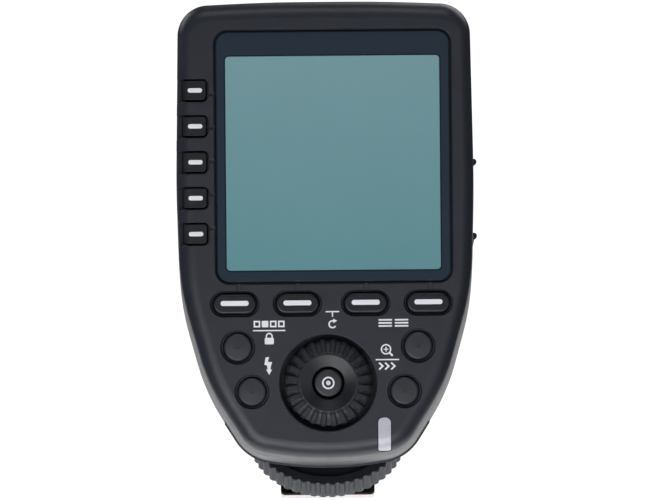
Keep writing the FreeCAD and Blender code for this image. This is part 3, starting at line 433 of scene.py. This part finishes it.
for i in range(3):
    p.line([(10.0 + 1.15 * i, -21.55), (10.7 + 1.15 * i, -22.2), (10.0 + 1.15 * i, -22.85)], 0.32)
p.done()
p = Print("legend_set", "set_button_body", ["set_button"])
p.arc(0.3, -25.3, 1.05, 0, 360, 0.3, 32)
p.disc(0.3, -25.3, 0.42)
p.done()

# ------------------------------------------------------------------ stage, light, camera
floor_m = bpy.data.materials.new("floor")
floor_m.use_nodes = True
floor_m.node_tree.nodes.clear()
ft = Tree.__new__(Tree)
ft.m, ft.t = floor_m, floor_m.node_tree
ft.out = ft.n("ShaderNodeOutputMaterial")
ft.co = ft.n("ShaderNodeTexCoord").outputs["Object"]
# white paper that is lit around the trigger and falls off outside that
sx = ft.n("ShaderNodeSeparateXYZ")
ft.link(ft.co, sx.inputs[0])
fx = ft.span(ft.math("ABSOLUTE", sx.outputs["X"]), 1.0, 0.0, 0.046, 0.080)
fn = ft.span(sx.outputs["Y"], 0.0, 1.0, -0.105, -0.060)
ff = ft.span(sx.outputs["Y"], 1.0, 0.0, 0.16, 0.26)
fb = ft.span(sx.outputs["Y"], 1.7, 1.0, -0.045, 0.010)
lit = ft.math("MULTIPLY", ft.math("MULTIPLY", ft.math("MULTIPLY", fx, fn), ff), fb)
seen = ft.n("ShaderNodeLightPath").outputs["Is Camera Ray"]
level = ft.math("MAXIMUM", ft.math("MULTIPLY_ADD", lit, 0.95, 0.05), ft.math("MULTIPLY", seen, 1.1))
em = ft.n("ShaderNodeEmission")
ft.link(level, em.inputs["Strength"])
# the paper is clear from below, so the underside can be seen
back = ft.n("ShaderNodeNewGeometry").outputs["Backfacing"]
both = ft.n("ShaderNodeMixShader")
clear = ft.n("ShaderNodeBsdfTransparent")
ft.link(back, both.inputs[0])
ft.link(em.outputs[0], both.inputs[1])
ft.link(clear.outputs[0], both.inputs[2])
ft.link(both.outputs[0], ft.out.inputs["Surface"])
bpy.ops.mesh.primitive_plane_add(size=6.0, location=(0, 0, -0.006))
floor = bpy.context.object
floor.name = "floor"
floor.data.materials.append(floor_m)

world = bpy.data.worlds.new("world")
bpy.context.scene.world = world
world.use_nodes = True
wt = world.node_tree
wt.nodes.clear()
wo = wt.nodes.new("ShaderNodeOutputWorld")
bg = wt.nodes.new("ShaderNodeBackground")
bg.inputs["Color"].default_value = (0.90, 0.94, 1.0, 1)
lp = wt.nodes.new("ShaderNodeLightPath")
wm = wt.nodes.new("ShaderNodeMapRange")
wt.links.new(lp.outputs["Is Camera Ray"], wm.inputs["Value"])
wm.inputs["To Min"].default_value = 0.055
wm.inputs["To Max"].default_value = 1.1
wt.links.new(wm.outputs["Result"], bg.inputs["Strength"])
wt.links.new(bg.outputs[0], wo.inputs["Surface"])


def area(name, pos, target, w, h, power, colour=(1, 1, 1)):
    light = bpy.data.lights.new(name, "AREA")
    light.shape = "RECTANGLE"
    light.size, light.size_y = w, h
    light.energy = power
    light.color = colour
    o = bpy.data.objects.new(name, light)
    o.location = pos
    o.rotation_euler = (Vector(target) - Vector(pos)).to_track_quat("-Z", "Y").to_euler()
    bpy.context.scene.collection.objects.link(o)
    return o


centre = row(0, 0, -10)
area("key", centre + (N * 0.73 - U * 0.62 - Vector((0.25, 0, 0))) * 0.75, centre, 0.75, 0.7, 6.3, (0.98, 0.985, 1.0))
area("front", centre + Vector((0, -0.6, -0.05)), centre, 0.7, 0.36, 0.6, (0.97, 0.97, 1.0))
area("top", centre + (N * 0.50 + U * 0.86) * 0.7, centre, 0.45, 0.3, 0.9, (0.96, 0.97, 1.0))
area("fill", centre + (N * 0.80 - U * 0.10 + Vector((0.60, 0, 0))) * 0.85, centre, 0.5, 0.6, 0.7, (0.95, 0.97, 1.0))
area("rear", centre + Vector((0.30, 0.58, 0.10)), centre, 0.6, 0.4, 2.4, (0.95, 0.97, 1.0))
area("rear_left", centre + Vector((-0.45, 0.42, 0.02)), centre, 0.4, 0.4, 1.3, (0.97, 0.98, 1.0))

aim = row(0.27, 0, 0)
cam = bpy.data.cameras.new("camera")
cam.sensor_width = 36.0
cam.lens = 4725.0 / 654.0 * 36.0
cam.clip_start, cam.clip_end = 0.05, 20.0
co = bpy.data.objects.new("camera", cam)
bpy.context.scene.collection.objects.link(co)
roll = math.radians(-0.5)
right, up = Vector((1, 0, 0)), U
cr = right * math.cos(roll) + up * math.sin(roll)
cu = up * math.cos(roll) - right * math.sin(roll)
from mathutils import Matrix
m = Matrix((cr, cu, N)).transposed().to_4x4()
m.translation = aim + N * 0.9
co.matrix_world = m
bpy.context.scene.camera = co
bpy.context.scene.view_settings.view_transform = "Standard"
